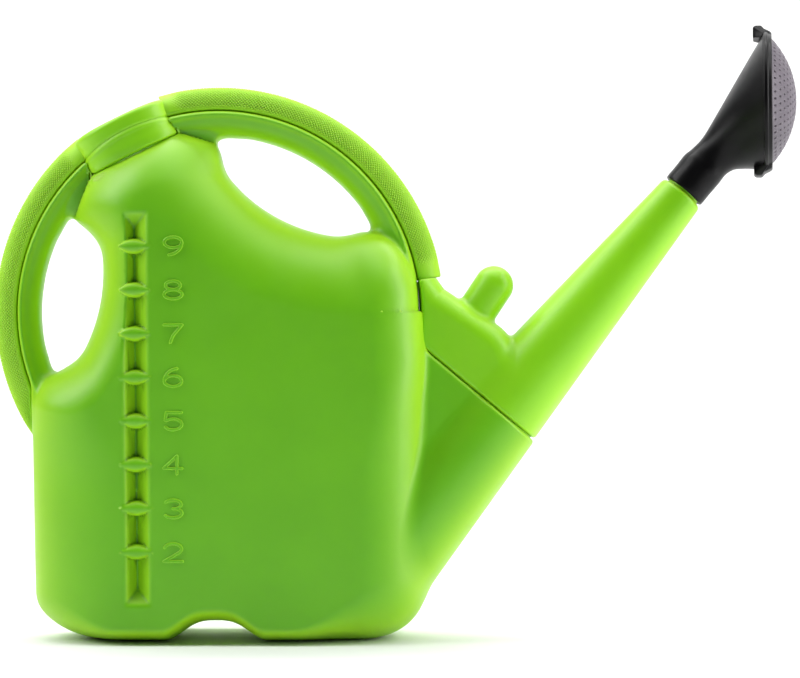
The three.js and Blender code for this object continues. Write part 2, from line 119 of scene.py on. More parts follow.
# The filler collar, tilted to the left, and its mouth.
COLLAR_TILT = math.radians(26.3)
COLLAR_AXIS = np.array([-math.sin(COLLAR_TILT), math.cos(COLLAR_TILT)])
COLLAR_RIGHT = np.array([math.cos(COLLAR_TILT), math.sin(COLLAR_TILT)])
COLLAR_HEIGHT, COLLAR_LENGTH, COLLAR_DEPTH = 30.0, 39.0, collar_high[1]
MOUTH_LENGTH, MOUTH_DEPTH = 33.0, 27.0
RIM = np.array([(collar_low[0] + collar_high[0]) / 2 - 7.25, 387.0])

# The spout: places along it are counted from its tip, so its foot is below zero.
SEAM, SEAM_RADIUS, SHOULDER, SHOULDER_RADIUS = -215.0, 32.9, -11.8, 18.0
TAPER = (SEAM_RADIUS - SHOULDER_RADIUS) / (SHOULDER - SEAM)
FOOT_END, FOOT_TOP, FOOT_ROOM_TOP = -362.0, 219.5, 215.0
SPIGOT_RADIUS, SPIGOT_BORE, SPIGOT_LENGTH = 13.3, 10.5, 29.0
PEG_X, PEG_Z, PEG_RADIUS, PEG_ANGLE = 73.3, 263.6, 14.7, math.radians(56.5)

# The rose is built facing +X, with its mouth at ROSE_X, then turned on the spout tip.
ROSE_X, ROSE_Z, ROSE_TURN = TIP[0] + 55.5, TIP[1] + 67.6, math.radians(-11.0)
RING_BACK, RING_FRONT, RING_RADIUS, RING_SEAT = ROSE_X - 3.0, ROSE_X + 11.2, 57.4, 47.8
DOME_BACK, DOME_FRONT, DOME_EDGE = ROSE_X + 6.0, ROSE_X + 29.1, 50.6
FACE_HOLE_PITCH, FACE_HOLE_RINGS = 4.9, 9

# The grips' skin: the radius and the half-round its dots are laid out on, and their pitch.
GRIP_RADIUS, GRIP_ROUND, DOT_PITCH, DOT_FADE = 160.0, 17.8, 2.5, 14.0

# The litre marks and the sight groove they stand in.
MARKS = [68.4 + 31.8 * k for k in range(8)]
SIGHT_X, SIGHT_LEAN, SIGHT_LOW, SIGHT_HIGH, SIGHT_DEPTH = -187.4, 0.0102, 30.0, 316.0, 9.0


# ---- field tools ----


def smooth_max(a, b, k):
    """The larger of two fields, with the corner between them rounded over a width of k."""
    h = np.clip(0.5 + 0.5 * (a - b) / k, 0, 1)
    return b + (a - b) * h + k * h * (1 - h)


def smooth_min(a, b, k):
    return -smooth_max(-a, -b, k)


def step_up(t):
    t = np.clip(t, 0, 1)
    return t * t * (3 - 2 * t)


def rise(distance, reach):
    """A quarter round: 0 at no distance, up to 1 at the reach."""
    t = np.clip(distance / reach, 0, 1)
    return np.sqrt(1 - (1 - t) ** 2)


def edge_share(distance, reach):
    """1 at an edge, falling to 0 at the given distance inside it."""
    return np.clip((reach - distance) / reach, 0, None)


def on_spout(x, z):
    """Place along the spout (0 at its tip) and above its centre line."""
    dx, dz = x - TIP[0], z - TIP[1]
    return dx * SPOUT_AXIS[0] + dz * SPOUT_AXIS[1], dx * SPOUT_UP[0] + dz * SPOUT_UP[1]


def from_spout(along, up):
    return TIP + np.multiply.outer(along, SPOUT_AXIS) + np.multiply.outer(up, SPOUT_UP)


def on_collar(x, z):
    """Depth below the filler rim, and distance to the right of its centre."""
    dx, dz = x - RIM[0], z - RIM[1]
    down = -(dx * COLLAR_AXIS[0] + dz * COLLAR_AXIS[1])
    return down, dx * COLLAR_RIGHT[0] + dz * COLLAR_RIGHT[1]


def from_ring(x, z):
    """Radius and angle in degrees round the handle ring's centre."""
    return np.hypot(x - RING_X, z - RING_Z), np.degrees(np.arctan2(z - RING_Z, x - RING_X))


def surface_net(field, low, high, step):
    """The zero surface of field(x, y, z) between two corners, as points and quads."""
    counts = [int(math.ceil((b - a) / step)) + 1 for a, b in zip(low, high)]
    x, y, z = np.meshgrid(
        *[a + step * np.arange(n, dtype=np.float32) for a, n in zip(low, counts)],
        indexing="ij",
        sparse=True,
    )
    values = np.broadcast_to(field(x, y, z), counts).astype(np.float32)
    inside = values < 0
    cells = [n - 1 for n in counts]
    total = np.zeros((int(np.prod(cells)), 3), np.float64)
    hits = np.zeros(len(total), np.int32)
    edges = []
    for axis in range(3):
        near = [slice(None)] * 3
        far = [slice(None)] * 3
        near[axis], far[axis] = slice(0, -1), slice(1, None)
        crossing = inside[tuple(near)] != inside[tuple(far)]
        for other in range(3):
            if other != axis:
                clip = [slice(None)] * 3
                clip[other] = [0, -1]
                crossing[tuple(clip)] = False
        at = np.argwhere(crossing)
        a = values[tuple(near)][crossing]
        b = values[tuple(far)][crossing]
        places = at.astype(np.float64)
        places[:, axis] += a / (a - b)
        one, two = [o for o in range(3) if o != axis]
        corners = []
        for shift in ((0, 0), (-1, 0), (-1, -1), (0, -1)):
            cell = at.copy()
            cell[:, one] += shift[0]
            cell[:, two] += shift[1]
            index = np.ravel_multi_index(cell.T, cells)
            corners.append(index)
            hits += np.bincount(index, minlength=len(hits)).astype(np.int32)
            for part in range(3):
                total[:, part] += np.bincount(index, places[:, part], len(hits))
        quads = np.stack(corners, 1)
        turned = (a < 0) if axis != 1 else (a >= 0)
        quads[~turned] = quads[~turned][:, ::-1]
        edges.append(quads)
    used = hits > 0
    number = np.cumsum(used) - 1
    points = total[used] / hits[used][:, None] * step + np.array(low)
    return points, number[np.concatenate(edges)]


def gradient(field, points, reach=0.05):
    x, y, z = points.T
    return np.stack(
        [
            field(x + reach, y, z) - field(x - reach, y, z),
            field(x, y + reach, z) - field(x, y - reach, z),
            field(x, y, z + reach) - field(x, y, z - reach),
        ],
        1,
    ) / (2 * reach)


def settle(field, points, limit, rounds=3):
    """Moves points onto the zero surface, never further than the limit in one round."""
    for _ in range(rounds):
        slope = gradient(field, points)
        size = np.maximum((slope**2).sum(1), 0.05)
        move = -(field(*points.T) / size)[:, None] * slope
        length = np.maximum(np.linalg.norm(move, axis=1), 1e-9)
        points = points + move * np.minimum(1, limit / length)[:, None]
    return points


def new_mesh(name, points, faces):
    mesh = bpy.data.meshes.new(name)
    faces = np.asarray(faces, np.int32)
    mesh.vertices.add(len(points))
    mesh.vertices.foreach_set("co", (np.asarray(points) * MM).astype(np.float32).ravel())
    mesh.loops.add(faces.size)
    mesh.loops.foreach_set("vertex_index", faces.ravel())
    mesh.polygons.add(len(faces))
    starts = np.arange(0, faces.size, faces.shape[1], dtype=np.int32)
    mesh.polygons.foreach_set("loop_start", starts)
    mesh.update(calc_edges=True)
    mesh.validate()
    mesh.polygons.foreach_set("use_smooth", np.ones(len(mesh.polygons), bool))
    return mesh


def new_object(name, points, faces):
    obj = bpy.data.objects.new(name, new_mesh(name, points, faces))
    bpy.context.scene.collection.objects.link(obj)
    return obj


def points_of(mesh):
    flat = np.zeros(len(mesh.vertices) * 3, np.float32)
    mesh.vertices.foreach_get("co", flat)
    return flat.reshape(-1, 3).astype(np.float64) / MM


def apply_modifiers(obj):
    graph = bpy.context.evaluated_depsgraph_get()
    mesh = bpy.data.meshes.new_from_object(obj.evaluated_get(graph))
    obj.modifiers.clear()
    obj.data = mesh


def level_set_object(name, field, low, high, step, keep=1.0):
    """A piece from its field. keep is the share of its faces that is left where it is flat."""
    points, quads = surface_net(field, low, high, step)
    points = settle(field, points, step * 0.6, 2)
    obj = new_object(name, points, quads)
    if keep < 1:
        thin = obj.modifiers.new("thin", "DECIMATE")
        thin.ratio = keep
        apply_modifiers(obj)
        points = settle(field, points_of(obj.data), step * 0.5, 2)
        obj.data.vertices.foreach_set("co", (points * MM).astype(np.float32).ravel())
    slope = gradient(field, points_of(obj.data))
    slope /= np.maximum(np.linalg.norm(slope, axis=1), 1e-9)[:, None]
    obj.data.polygons.foreach_set("use_smooth", np.ones(len(obj.data.polygons), bool))
    obj.data.normals_split_custom_set_from_vertices(slope.astype(np.float32))
    obj.data.update()
    return obj


# ---- tank ----


def collar_side(right, y, swell=0.0):
    """Distance outside the collar's oval wall."""
    power = ROUNDING_POWER
    length, depth = COLLAR_LENGTH - 0.6 + swell, COLLAR_DEPTH - 0.6 + swell
    oval = np.abs(right / length) ** power + np.abs(y / depth) ** power
    return (oval ** (1 / power) - 1) * depth


def tank_depth(x, z):
    """Half of the tank's thickness where its face is flat."""
    crown = HALF_DEPTH - 4.0 * ((x - MIDDLE) / 146.5) ** 2
    down, right = on_collar(x, z)
    below = down - COLLAR_HEIGHT
    across = np.clip(np.abs(right) / (COLLAR_LENGTH - 1.5 + np.clip(below, 0, None) * 1.1), 0, 1)
    oval = (1 - across**2.5) ** 0.4
    neck = COLLAR_DEPTH - 1.5 + (HALF_DEPTH - COLLAR_DEPTH + 1.5) * rise(below, 90.0)
    return smooth_min(crown, TUBE_HALF + (neck - TUBE_HALF) * oval, 8.0)


def outside_bite(x, z, bite, ends):
    """Distance from a hand hole's tank side, positive on the tank."""
    away = np.hypot(x - bite[0], z - bite[1]) - bite[2]
    for end_x, end_z, out_x, out_z in ends:
        away = smooth_max(away, (x - end_x) * out_x + (z - end_z) * out_z, HOLE_END)
    return away


def tank_body(x, y, z, inset=0.0):
    """The flat-sided body without the handle and the spout's foot, or its inside at an inset."""
    radius, _ = from_ring(x, z)
    left = LEFT_TOP + (LEFT_FOOT - LEFT_TOP) * np.clip((150.0 - z) / 120.0, 0, 1.2)
    right = RIGHT - 4.0 * step_up((z - 185.0) / 70.0)
    circle = GROOVE - radius
    straight = np.minimum(x - left, right - x)
    side = np.where(z < RING_Z, smooth_max(circle, straight, 4.0), circle) - inset
    leftward = step_up((MIDDLE + 30.0 - x) / 60.0)
    reach = 40.0 + 10.0 * leftward + (12.0 + 16.0 * leftward) * step_up((190.0 - z) / 80.0)
    arch = np.clip(np.abs(x - ARCH_X) / ARCH_HALF, 0, 1) ** 1.45
    arch = ARCH_TOP * (0.5 + 0.5 * np.cos(np.pi * arch))
    base = z - arch - inset
    base_reach = 14 + 22 * step_up((-205.0 - x) / 55.0) + 34 * step_up((x + 75.0) / 75.0)
    rear = outside_bite(x, z, REAR_BITE, REAR_ENDS) - inset
    front = outside_bite(x, z, FRONT_BITE, FRONT_ENDS) - inset
    power = ROUNDING_POWER
    across = (
        edge_share(side, reach) ** power
        + edge_share(base, base_reach) ** power
        + edge_share(rear, 34.0) ** 2.0
        + edge_share(front, 60.0) ** 2.0
    ) ** (1 / power)
    depth = tank_depth(x, z) - inset
    near_spout = step_up((x + 28.0) / 36.0) * step_up((z - 175.0) / 40.0)
    near_spout = near_spout * step_up((292.0 - z) / 40.0)
    edge = EDGE_HALF + 10.0 * near_spout - inset
    through = np.clip((np.abs(y) - edge) / (depth - edge), 0, None)
    return (np.sqrt(across**2 + through**2) - 1) * FIELD_SCALE


def ring_tube(x, y, z):
    """The handle tube, whose inner half belongs to the tank."""
    radius, angle = from_ring(x, z)
    rear = step_up((np.abs(angle) - 100.0) / 20.0)
    inner = GROOVE - (FRONT_INNER + (REAR_INNER - FRONT_INNER) * rear)
    half = np.where(radius < GROOVE, inner, RING_OUTER - GROOVE)
    bead = 1.4 * np.exp(-(((radius - GROOVE + 3.4) / 2.1) ** 2))
    proud = TUBE_HALF + 1.0 + bead
    return (np.sqrt(((radius - GROOVE) / half) ** 2 + (y / proud) ** 2) - 1) * proud


def hand_holes(x, z):
    """Negative in the open hand holes' outlines, with rounded corners."""
    radius, _ = from_ring(x, z)
    rear = outside_bite(x, z, REAR_BITE, REAR_ENDS)
    front = outside_bite(x, z, FRONT_BITE, FRONT_ENDS)
    return np.minimum(
        smooth_max(radius - REAR_INNER, rear, HOLE_CORNER),
        smooth_max(radius - FRONT_INNER, front, HOLE_CORNER),
    )


def spout_foot(x, y, z):
    """The cone and the hump above it, on both sides of the seam."""
    along, up = on_spout(x, z)
    radius = SEAM_RADIUS - TAPER * (along - SEAM)
    cone = np.hypot(y, up) - radius
    half = 26.0 + 0.075 * np.clip(SEAM - along, 0, None)
    heel = (x - 31.0) * 0.82 + (z - 268.0) * 0.57
    brow = (x - 48.0) * 0.558 + (z - 252.8) * 0.83
    toe = (x - 84.5) * 0.93 + (z - 228.0) * 0.36
    top = np.where(along < SEAM, brow, np.minimum(heel, brow))
    top = -smooth_max(top, toe, 6.0)
    through = np.clip((np.abs(y) - 7.0) / (half - 7.0), 0, None)
    hump = (np.sqrt(edge_share(top, 17.0) ** 2 + through**2) - 1) * 20.0
    hump = smooth_max(hump, along - (SEAM + 62.0), 10.0)
    hump = smooth_max(hump, -up, 8.0)
    return smooth_min(cone, hump, 6.0)


def sight_depth(x, y, z):
    """Depth below the tank's front face."""
    return y + tank_depth(x, z)


def sight_groove(x, y, z):
    """The long sight groove in the front face: steep left wall, wide right wall, sloped ends."""
    aside = x - (SIGHT_X - (z - SIGHT_LOW) * SIGHT_LEAN)
    depth = sight_depth(x, y, z)
    left = (depth * 6.6 / SIGHT_DEPTH - (aside + 9.2)) * 0.77
    right = (depth * 8.4 / SIGHT_DEPTH - (9.0 - aside)) * 0.69
    low = (depth * 9.0 / SIGHT_DEPTH - (z - SIGHT_LOW)) * 0.66
    high = (depth * 9.0 / SIGHT_DEPTH - (SIGHT_HIGH - z)) * 0.66
    return smooth_max(smooth_max(left, right, 1.2), smooth_max(low, high, 2.0), 1.2)


def sight_nubs(x, y, z):
    """Boat-shaped bars across the groove, flush with the face, one for each litre."""
    aside = x - (SIGHT_X - 0.8 - (z - SIGHT_LOW) * SIGHT_LEAN)
    depth = sight_depth(x, y, z)
    half = 5.6 * np.clip(1 - np.abs(aside / 11.8) ** 1.7, 0.02, 1)
    nearest = np.full(np.broadcast(x, z).shape, 1e3, np.float32)
    for mark in MARKS:
        nearest = np.minimum(nearest, np.abs(z - mark))
    bar = np.hypot(nearest, np.clip(half - depth - 0.5, 0, None)) - half
    bar = np.maximum(bar, np.abs(aside) - 11.6)
    return np.maximum(bar, depth - SIGHT_DEPTH - 3.0)


def tank_outside(x, y, z):
    """The tank's outer skin: body, handle tube inside the groove, hand holes and spout's foot."""
    body = smooth_min(tank_body(x, y, z), ring_tube(x, y, z), 7.0)
    radius, _ = from_ring(x, z)
    left = x - (LEFT_TOP + 0.8)
    right = np.where(z < 221.0, 6.0, RIGHT + 30 - x)
    within = np.where(z < RING_Z, np.where(x < RING_X, left, right), -60.0)
    allowed = -smooth_max(GROOVE - 0.7 - radius, within, 2.0)
    body = smooth_max(body, allowed, 3.4)
    body = smooth_max(body, -hand_holes(x, z), 3.0)
    along, _ = on_spout(x, z)
    foot = smooth_max(spout_foot(x, y, z) - 0.9, along - SEAM + GAP / 2, 3.2)
    foot = smooth_max(foot, z - FOOT_TOP, 3.0)
    foot = smooth_max(foot, FOOT_END - along, 8.0)
    return smooth_min(body, foot, 5.0)


def mouth_side(right, y):
    """Distance outside the filler mouth's oval wall."""
    return (np.sqrt((right / MOUTH_LENGTH) ** 2 + (y / MOUTH_DEPTH) ** 2) - 1) * MOUTH_DEPTH


def tank_inside(x, y, z):
    """The space for water: body, spout's foot and filler mouth."""
    body = tank_body(x, y, z, WALL)
    foot = np.maximum(spout_foot(x, y, z) + WALL, np.maximum(-x, z - FOOT_ROOM_TOP))
    down, right = on_collar(x, z)
    mouth = np.maximum(mouth_side(right, y), down - COLLAR_HEIGHT - 24.0)
    groove = WALL - sight_groove(x, y, z)
    inside = smooth_min(smooth_min(body, foot, 4.0), mouth, 1.6)
    return np.maximum(inside, groove)


def tank_field(x, y, z):
    outside = tank_outside(x, y, z)
    # The field climbs faster where the neck is thin, so its wall is a larger step there.
    climb = np.clip(FIELD_SCALE / (tank_depth(x, z) - EDGE_HALF), 1.0, 6.0)
    neck_wall = outside + WALL * climb - 90.0 * step_up((NECK_LOW - z) / 10.0)
    inside = np.maximum(tank_inside(x, y, z), neck_wall)
    outside = smooth_max(outside, -sight_groove(x, y, z), 1.6)
    outside = smooth_min(outside, np.maximum(sight_nubs(x, y, z), outside - 9.0), 1.0)
    down, right = on_collar(x, z)
    room = np.maximum(collar_side(right, y) - GAP, down - COLLAR_HEIGHT)
    return np.maximum(smooth_max(outside, -room, 0.8), -inside)


def make_tank():
    low = [tank_low[0] - 4, -HALF_DEPTH - 3, -3.0]
    high = [tank_high[0] + 4, HALF_DEPTH + 3, tank_high[2] + 3]
    return level_set_object("tank_shell", tank_field, low, high, 1.8, 0.43)


# ---- collar ----


def collar_field(x, y, z):
    """The collar with its moulded band, and a groove and ridge where the ring's groove runs on."""
    down, right = on_collar(x, z)
    side = collar_side(right, y, 0.5 * step_up((6.0 - np.abs(down - 24.0)) / 6.0))
    radius, _ = from_ring(x, z)
    side = side + 0.8 * np.exp(-(((radius - GROOVE - 0.2) / 0.9) ** 2))
    side = side - 0.5 * np.exp(-(((radius - GROOVE + 2.6) / 1.3) ** 2))
    solid = smooth_max(side, -down, 5.0)
    solid = smooth_max(solid, down - COLLAR_HEIGHT + GAP, 2.2)
    return smooth_max(solid, -mouth_side(right, y), 2.6)


def make_collar():
    return level_set_object("collar_sleeve", collar_field, collar_low - 3, collar_high + 3, 1.0)


# ---- spout ----


def spout_field(x, y, z):
    """The tapered tube with its hump, peg and spigot, bored through, with tongues behind its
    seams.
    """
    along, up = on_spout(x, z)
    wide = np.hypot(y, up)
    radius, angle = from_ring(x, z)
    foot = spout_foot(x, y, z)
    body = smooth_max(foot, along + 1.2, 4.0)
    shank = (x - PEG_X) * math.cos(PEG_ANGLE) + (z - PEG_Z) * math.sin(PEG_ANGLE)
    aside = -(x - PEG_X) * math.sin(PEG_ANGLE) + (z - PEG_Z) * math.cos(PEG_ANGLE)
    peg = np.sqrt(np.clip(shank, 0, None) ** 2 + aside**2 + y**2) - PEG_RADIUS
    peg = np.maximum(peg, -shank - 34.0)
    body = smooth_min(body, peg, 5.0)
    body = smooth_max(body, SEAM + SEAM_ROOM - along, 3.2)
    body = smooth_max(body, GROOVE + SEAM_ROOM - radius, 3.2)
    body = smooth_max(body, np.where(x < 36.0, (angle - 9.0) * 2.6, -60.0), 1.2)
    spigot = np.maximum(wide - SPIGOT_RADIUS, -along - 20.0)
    spigot = smooth_max(spigot, along - SPIGOT_LENGTH, 2.0)
    body = np.minimum(body, spigot)
    tapered = wide - SEAM_RADIUS + WALL + TAPER * (along - SEAM)
    bore = np.maximum(
        np.where(along < -14.0, tapered, wide - SPIGOT_BORE),
        wide - SEAM_RADIUS + WALL,
    )
    room = np.maximum(np.abs(y) - 18.0, np.maximum(up - 64.0, -up))
    room = np.maximum(room, along - SEAM - 34.0)
    room = np.maximum(room, GROOVE + 6.0 - radius)
    body = np.maximum(body, -np.minimum(bore, room))
    tongue = np.maximum(np.abs(foot + WALL + 1.3) - 1.1, np.abs(along - SEAM - 1.0) - 5.0)
    tongue = np.maximum(tongue, GROOVE + 4.0 - radius)
    lip = np.maximum(np.abs(radius - GROOVE - 4.0) - 4.4, np.abs(y) - 14.0)
    lip = np.maximum(lip, np.abs(angle + 0.5) * 2.6 - 24.7)
    return np.minimum(body, np.minimum(tongue, lip))


def make_spout():
    low, high = box_mm("spout")
    return level_set_object("spout_tube", spout_field, low - 3, high + 3, 1.15, 0.6)


# ---- grips ----


def grip_groove(angle):
    """Radius of the grip's inner edge: the ring's groove, then the tank's straight left side."""
    straight = (RING_X - LEFT_TOP - 0.5) / np.maximum(np.abs(np.cos(np.radians(angle))), 0.2)
    lower_left = angle > 180
    edge = GROOVE + 0.5
    return np.where(lower_left, np.maximum(edge, straight), edge)


def collar_angle(radius, side):
    """Angle at which the ring reaches the collar's side (+1 right, -1 left)."""
    angles = np.linspace(90, 150, 1201)
    x = RING_X + radius * np.cos(np.radians(angles))
    z = RING_Z + radius * np.sin(np.radians(angles))
    _, right = on_collar(x, z)
    return angles[np.argmin(np.abs(right - side * (COLLAR_LENGTH - 4.6)))]


def add_tongue(radius, across):
    """Closes a grip's open side with a tongue that reaches into the tank's groove."""
    tongue, shoulder = 1.5, 3.5
    first, last = across[:, :1], across[:, -1:]
    edge_first, edge_last = radius[:, :1], radius[:, -1:]
    radius = np.hstack(
        [radius, edge_last, edge_last - tongue, edge_first - tongue, edge_first]
    )
    draft = 0.5
    across = np.hstack(
        [
            across,
            last - shoulder,
            last - shoulder - draft,
            first + shoulder + draft,
            first + shoulder,
        ]
    )
    return radius, across


def make_grip(name, start, stop, fade_start, fade_stop):
    """Half of the handle tube with rows of staggered dots pressed up from its skin.
    start and stop are functions of the radius and give angles in degrees."""
    turns = np.linspace(-90, 90, 125)
    length = math.radians(abs(stop(GRIP_RADIUS) - start(GRIP_RADIUS))) * GRIP_RADIUS
    step = 0.5
    stations = int(length / step)
    share = np.linspace(0, 1, stations)[:, None]
    turn = np.radians(turns)[None, :]
    radii = np.linspace(GROOVE, RING_OUTER, 19)
    rough_radius = GROOVE + (RING_OUTER - GROOVE) * np.cos(turn)
    begin = np.interp(rough_radius, radii, [start(r) for r in radii])
    end = np.interp(rough_radius, radii, [stop(r) for r in radii])
    angle = begin + (end - begin) * share
    edge = grip_groove(angle)
    back = RING_OUTER - 0.5
    run = np.radians(angle) * GRIP_RADIUS
    around = np.radians(turns)[None, :] * GRIP_ROUND
    dots = np.cos(np.pi * (run + around) / DOT_PITCH) * np.cos(np.pi * (run - around) / DOT_PITCH)
    dots = step_up(np.abs(dots) * 1.7 - 0.4)
    from_first = np.abs(run - np.radians(begin) * GRIP_RADIUS)
    from_last = np.abs(run - np.radians(end) * GRIP_RADIUS)
    fade = step_up((from_first - fade_start) / DOT_FADE)
    fade = fade * step_up((from_last - fade_stop) / DOT_FADE)
    fade = fade * step_up((90.0 - np.abs(turns)[None, :] - 3.0) / 9.0)
    lift = 1.0 * (dots - 0.5) * fade
    lip = 1.0 - 0.09 * (1 - rise(90.0 - np.abs(turns)[None, :], 9.0))
    end_round = rise(from_last + 0.3, 2.2)
    depth = (TUBE_HALF - 0.6) * (0.94 + 0.06 * end_round) * lip
    reach = (back - edge) * (0.94 + 0.06 * end_round)
    taper = np.clip((back - edge) / (back - GROOVE), 0.05, 1) ** 0.5
    radius = edge + reach * np.cos(turn) + lift * np.cos(turn)
    across = (depth * taper + lift) * np.sin(turn)
    radius, across = add_tongue(radius, across)
    angle = np.hstack([angle, np.repeat(angle[:, :1], 4, axis=1)])
    x = RING_X + radius * np.cos(np.radians(angle))
    z = RING_Z + radius * np.sin(np.radians(angle))
    skin = np.stack([x, across, z], -1).reshape(-1, 3)
    columns = radius.shape[1]
    i, j = np.meshgrid(np.arange(stations - 1), np.arange(columns), indexing="ij")
    a = i * columns + j
    b = i * columns + (j + 1) % columns
    faces = np.stack([a, b, b + columns, a + columns], -1).reshape(-1, 4)
    if stop(GRIP_RADIUS) < start(GRIP_RADIUS):
        faces = faces[:, ::-1]
    caps = []
    for row, flip in ((0, True), (stations - 1, False)):
        loop = row * columns + np.arange(columns)
        centre = len(skin) + len(caps) // columns
        fan = np.stack([loop, np.roll(loop, -1), np.full(columns, centre)], 1)
        caps.extend((fan[:, ::-1] if flip else fan).tolist())
    middle = [skin[:columns].mean(0), skin[-columns:].mean(0)]
    mesh = bpy.data.meshes.new(name)
    points = np.vstack([skin, middle]) * MM
    mesh.from_pydata(points.tolist(), [], faces.tolist() + caps)
    mesh.polygons.foreach_set("use_smooth", np.ones(len(mesh.polygons), bool))
    obj = bpy.data.objects.new(name, mesh)
    bpy.context.scene.collection.objects.link(obj)
    return obj


# ---- rose ----


def lathe(name, profile, origin, axis, segments=128):
    """A turned piece from a closed loop of (radius, height) along an axis in the XZ plane."""
    profile = np.array(profile, float)
    turn = np.linspace(0, 2 * np.pi, segments, endpoint=False)
    side = np.array([-axis[1], axis[0]])
    ring = np.stack([np.cos(turn), np.sin(turn)], 1)
    points = []
    for radius, height in profile:
        centre = np.array(origin) + height * np.array(axis)
        x = centre[0] + radius * ring[:, 0] * side[0]
        z = centre[1] + radius * ring[:, 0] * side[1]
        points.append(np.stack([x, radius * ring[:, 1], z], 1))
    rows = len(profile)
    i, j = np.meshgrid(np.arange(rows), np.arange(segments), indexing="ij")
    nxt, after = (i + 1) % rows, (j + 1) % segments
    faces = np.stack(
        [i * segments + j, i * segments + after, nxt * segments + after, nxt * segments + j], -1
    ).reshape(-1, 4)
    return new_object(name, np.concatenate(points), faces)


def fillet_loop(corners, radius, steps=4):
    """A closed loop with every corner rounded by up to the given radius."""
    corners = np.array(corners, float)
    out = []
    for before, here, after in zip(np.roll(corners, 1, 0), corners, np.roll(corners, -1, 0)):
        a, b = before - here, after - here
        room = min(radius, 0.45 * np.linalg.norm(a), 0.45 * np.linalg.norm(b))
        start = here + a / np.linalg.norm(a) * room
        stop = here + b / np.linalg.norm(b) * room
        for t in np.linspace(0, 1, steps + 1):
            out.append((1 - t) ** 2 * start + 2 * t * (1 - t) * here + t**2 * stop)
    return out


def smooth_path(keys, count):
    """Points along a curve through the keys, which are rows of numbers."""
    keys = np.array(keys, float)
    padded = np.vstack([2 * keys[0] - keys[1], keys, 2 * keys[-1] - keys[-2]])
    out = []
    for share in np.linspace(0, len(keys) - 1, count):
        i = min(int(share), len(keys) - 2)
        t = share - i
        p0, p1, p2, p3 = padded[i : i + 4]
        out.append(
            0.5
            * (
                2 * p1
                + (p2 - p0) * t
                + (2 * p0 - 5 * p1 + 4 * p2 - p3) * t**2
                + (3 * p1 - p0 - 3 * p2 + p3) * t**3
            )
        )
    return np.array(out)


def make_housing():
    """The rose's neck and funnel: circles whose top and bottom points follow two side lines."""
    neck = []
    for along, radius in ((0.5, 15.6), (2.0, 16.5), (12.0, 16.5), (22.0, 16.7)):
        neck.append([*from_spout(along, radius), *from_spout(along, -radius)])
    stations = neck + [
        [ROSE_X - 48.0, 366.8, ROSE_X - 23.6, 346.6],
        [ROSE_X - 40.0, 375.6, ROSE_X - 17.5, 350.2],
        [ROSE_X - 28.0, 395.6, ROSE_X - 11.0, 350.9],
        [ROSE_X - 15.5, 417.0, ROSE_X - 4.6, 350.9],
        [ROSE_X - 4.4, 435.8, ROSE_X + 0.8, 350.9],
        [ROSE_X + 5.2, 451.6, ROSE_X + 5.2, 351.4],
    ]
    line = smooth_path(stations, 90)
    segments, wall = 112, 2.4
    turn = np.linspace(0, 2 * np.pi, segments, endpoint=False)

    def ring(row, inset):
        top, bottom = row[:2], row[2:]
        centre, arm = (top + bottom) / 2, (top - bottom) / 2
        size = np.linalg.norm(arm)
        arm = arm * (size - inset) / size
        flat = centre[None, :] + np.cos(turn)[:, None] * arm[None, :]
        return np.stack([flat[:, 0], (size - inset) * np.sin(turn), flat[:, 1]], 1)

    outer = [ring(row, 0.0) for row in line]
    inner = [ring(row, wall) for row in line[::-1]]
    loops = outer + inner
    points = np.concatenate(loops)
    rows = len(loops)
    i, j = np.meshgrid(np.arange(rows), np.arange(segments), indexing="ij")
    nxt, after = (i + 1) % rows, (j + 1) % segments
    faces = np.stack(
        [i * segments + j, nxt * segments + j, nxt * segments + after, i * segments + after], -1
    ).reshape(-1, 4)
    return new_object("rose_funnel", points, faces)


def make_ring():
    """The ring that holds the dome on the funnel, as a full round before its lugs are shaped."""
    deep, outer = RING_FRONT - RING_BACK, RING_RADIUS
    profile = fillet_loop(
        [
            (RING_SEAT, 0.3),
            (outer - 1.2, 0.3),
            (outer, 2.2),
            (outer, 6.4),
            (outer - 2.6, 8.2),
            (outer - 5.0, deep - 1.2),
            (outer - 6.2, deep),
            (49.6, deep),
            (48.6, deep - 1.4),
            (48.6, 6.2),
            (RING_SEAT, 5.2),
        ],
        1.2,
    )
    return lathe("rose_clamp_ring", profile, (RING_BACK, ROSE_Z), (1.0, 0.0), 144)


def shape_lugs(obj):
    """Cuts the clamp ring down to a thin band, except at the lugs on its top and bottom."""
    points = points_of(obj.data)
    lug_half, lug_slope, band_depth, band_width = 7.0, 3.0, 0.44, 0.4
    lug = 1 - step_up((np.abs(points[:, 1]) - lug_half) / lug_slope)
    depth = band_depth + (1 - band_depth) * lug
    points[:, 0] = RING_FRONT - (RING_FRONT - points[:, 0]) * depth
    up = points[:, 2] - ROSE_Z
    radius = np.hypot(points[:, 1], up)
    width = band_width + (1 - band_width) * lug
    scale = (RING_SEAT + (radius - RING_SEAT) * width) / radius
    points[:, 1] *= scale
    points[:, 2] = ROSE_Z + up * scale
    obj.data.vertices.foreach_set("co", (points * MM).astype(np.float32).ravel())
    obj.data.update()
    return obj


def face_holes():
    """Places of the dome's holes, in staggered rings round a bare centre."""
    places = []
    for ring in range(1, FACE_HOLE_RINGS + 1):
        count = 6 * ring
        for i in range(count):
            turn = 2 * np.pi * (i + 0.5 * (ring % 2)) / count
            radius = ring * FACE_HOLE_PITCH
            places.append((radius * math.cos(turn), radius * math.sin(turn)))
    return places


